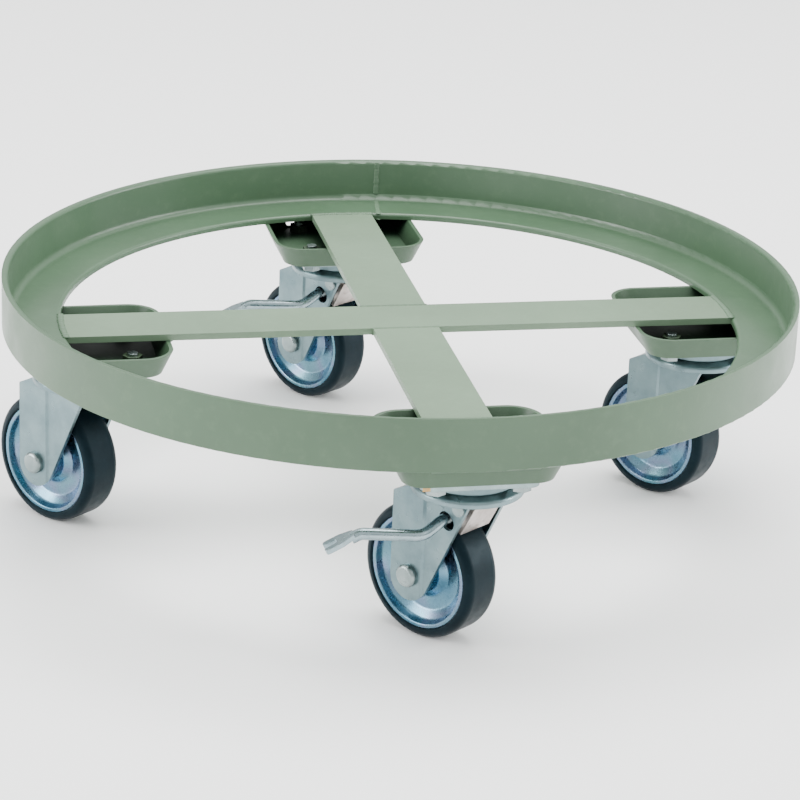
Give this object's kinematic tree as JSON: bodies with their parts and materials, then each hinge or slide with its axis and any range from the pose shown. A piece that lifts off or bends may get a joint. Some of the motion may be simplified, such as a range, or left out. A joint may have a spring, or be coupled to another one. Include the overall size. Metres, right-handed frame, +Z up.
{
  "type": "drum dolly",
  "caption": "Round drum dolly: a rolled angle-iron ring with a flat-bar cross, carried on swivel casters, some of them with a foot brake.",
  "frame": {"origin": "centre of the crossbars' top face, the plane a drum stands on, on the ring's axis", "axes": "+Z up out of the drum seat, X along the one-piece crossbar, +Y along the two-piece crossbar towards the back caster"},
  "size_m": [0.6, 0.6104, 0.1945],
  "materials": {
    "frame_paint": "satin grey-green enamel",
    "bar_paint": "satin grey-green enamel, a little lighter where the sheet light falls flat",
    "pad_paint": "satin grey-green enamel",
    "weld_paint": "painted weld metal",
    "zinc_plate": "bright zinc plate",
    "zinc_fastener": "zinc plate",
    "bearing_steel": "polished, lightly greased",
    "rim_zinc": "blue chromated zinc plate",
    "brake_plate": "zinc plate",
    "tyre_rubber": "moulded solid rubber"
  },
  "bodies": {
    "frame": {"ring": "frame_paint", "long_crossbar": "bar_paint", "short_crossbar_front": "bar_paint", "short_crossbar_back": "bar_paint", "weld_beads": "weld_paint", "mount_bolts": "zinc_fastener", "mount_nuts": "zinc_fastener", "caster_pad_front": "pad_paint", "top_plate_front": "zinc_plate", "king_pin_front": "zinc_fastener", "caster_pad_right": "pad_paint", "top_plate_right": "zinc_plate", "king_pin_right": "zinc_fastener", "caster_pad_back": "pad_paint", "top_plate_back": "zinc_plate", "king_pin_back": "zinc_fastener", "caster_pad_left": "pad_paint", "top_plate_left": "zinc_plate", "king_pin_left": "zinc_fastener"},
    "swivel_front": {"fork_front": "zinc_plate", "swivel_balls_front": "bearing_steel", "axle_bolt_front": "zinc_fastener", "axle_nut_front": "zinc_fastener", "axle_sleeve_front": "bearing_steel", "brake_pin_front": "zinc_fastener", "brake_spring_front": "bearing_steel"},
    "wheel_front": {"wheel_rim_front": "rim_zinc", "hub_bearings_front": "bearing_steel", "tyre_front": "tyre_rubber"},
    "brake_front": {"brake_lever_front": "zinc_plate", "brake_shoe_front": "brake_plate"},
    "swivel_right": {"fork_right": "zinc_plate", "swivel_balls_right": "bearing_steel", "axle_bolt_right": "zinc_fastener", "axle_nut_right": "zinc_fastener", "axle_sleeve_right": "bearing_steel"},
    "wheel_right": {"wheel_rim_right": "rim_zinc", "hub_bearings_right": "bearing_steel", "tyre_right": "tyre_rubber"},
    "swivel_back": {"fork_back": "zinc_plate", "swivel_balls_back": "bearing_steel", "axle_bolt_back": "zinc_fastener", "axle_nut_back": "zinc_fastener", "axle_sleeve_back": "bearing_steel", "brake_pin_back": "zinc_fastener", "brake_spring_back": "bearing_steel"},
    "wheel_back": {"wheel_rim_back": "rim_zinc", "hub_bearings_back": "bearing_steel", "tyre_back": "tyre_rubber"},
    "brake_back": {"brake_lever_back": "zinc_plate", "brake_shoe_back": "brake_plate"},
    "swivel_left": {"fork_left": "zinc_plate", "swivel_balls_left": "bearing_steel", "axle_bolt_left": "zinc_fastener", "axle_nut_left": "zinc_fastener", "axle_sleeve_left": "bearing_steel"},
    "wheel_left": {"wheel_rim_left": "rim_zinc", "hub_bearings_left": "bearing_steel", "tyre_left": "tyre_rubber"}
  },
  "joints": [
    {"name": "front_swivel", "type": "hinge", "parent": "frame", "child": "swivel_front", "pos_m": [0.00333, -0.23848, -0.1105], "axis": [0, 0, 1], "continuous": true},
    {"name": "front_wheel_spin", "type": "hinge", "parent": "swivel_front", "child": "wheel_front", "pos_m": [-0.01472, -0.21452, -0.1105], "axis": [-0.7986, -0.6018, 0], "continuous": true},
    {"name": "front_brake", "type": "hinge", "parent": "swivel_front", "child": "brake_front", "pos_m": [0.01115, -0.24886, -0.0475], "axis": [-0.7986, -0.6018, 0], "range_deg": [0, 12]},
    {"name": "right_swivel", "type": "hinge", "parent": "frame", "child": "swivel_right", "pos_m": [0.23848, 0.00333, -0.1105], "axis": [0, 0, 1], "continuous": true},
    {"name": "right_wheel_spin", "type": "hinge", "parent": "swivel_right", "child": "wheel_right", "pos_m": [0.22021, 0.02713, -0.1105], "axis": [-0.7934, -0.6088, 0], "continuous": true},
    {"name": "back_swivel", "type": "hinge", "parent": "frame", "child": "swivel_back", "pos_m": [-0.00333, 0.23848, -0.1105], "axis": [0, 0, 1], "continuous": true},
    {"name": "back_wheel_spin", "type": "hinge", "parent": "swivel_back", "child": "wheel_back", "pos_m": [-0.02075, 0.2629, -0.1105], "axis": [-0.8141, -0.5807, 0], "continuous": true},
    {"name": "back_brake", "type": "hinge", "parent": "swivel_back", "child": "brake_back", "pos_m": [0.00422, 0.22789, -0.0475], "axis": [-0.8141, -0.5807, 0], "range_deg": [0, 12]},
    {"name": "left_swivel", "type": "hinge", "parent": "frame", "child": "swivel_left", "pos_m": [-0.23848, -0.00333, -0.1105], "axis": [0, 0, 1], "continuous": true},
    {"name": "left_wheel_spin", "type": "hinge", "parent": "swivel_left", "child": "wheel_left", "pos_m": [-0.25736, 0.01998, -0.1105], "axis": [-0.7771, -0.6293, 0], "continuous": true}
  ]
}
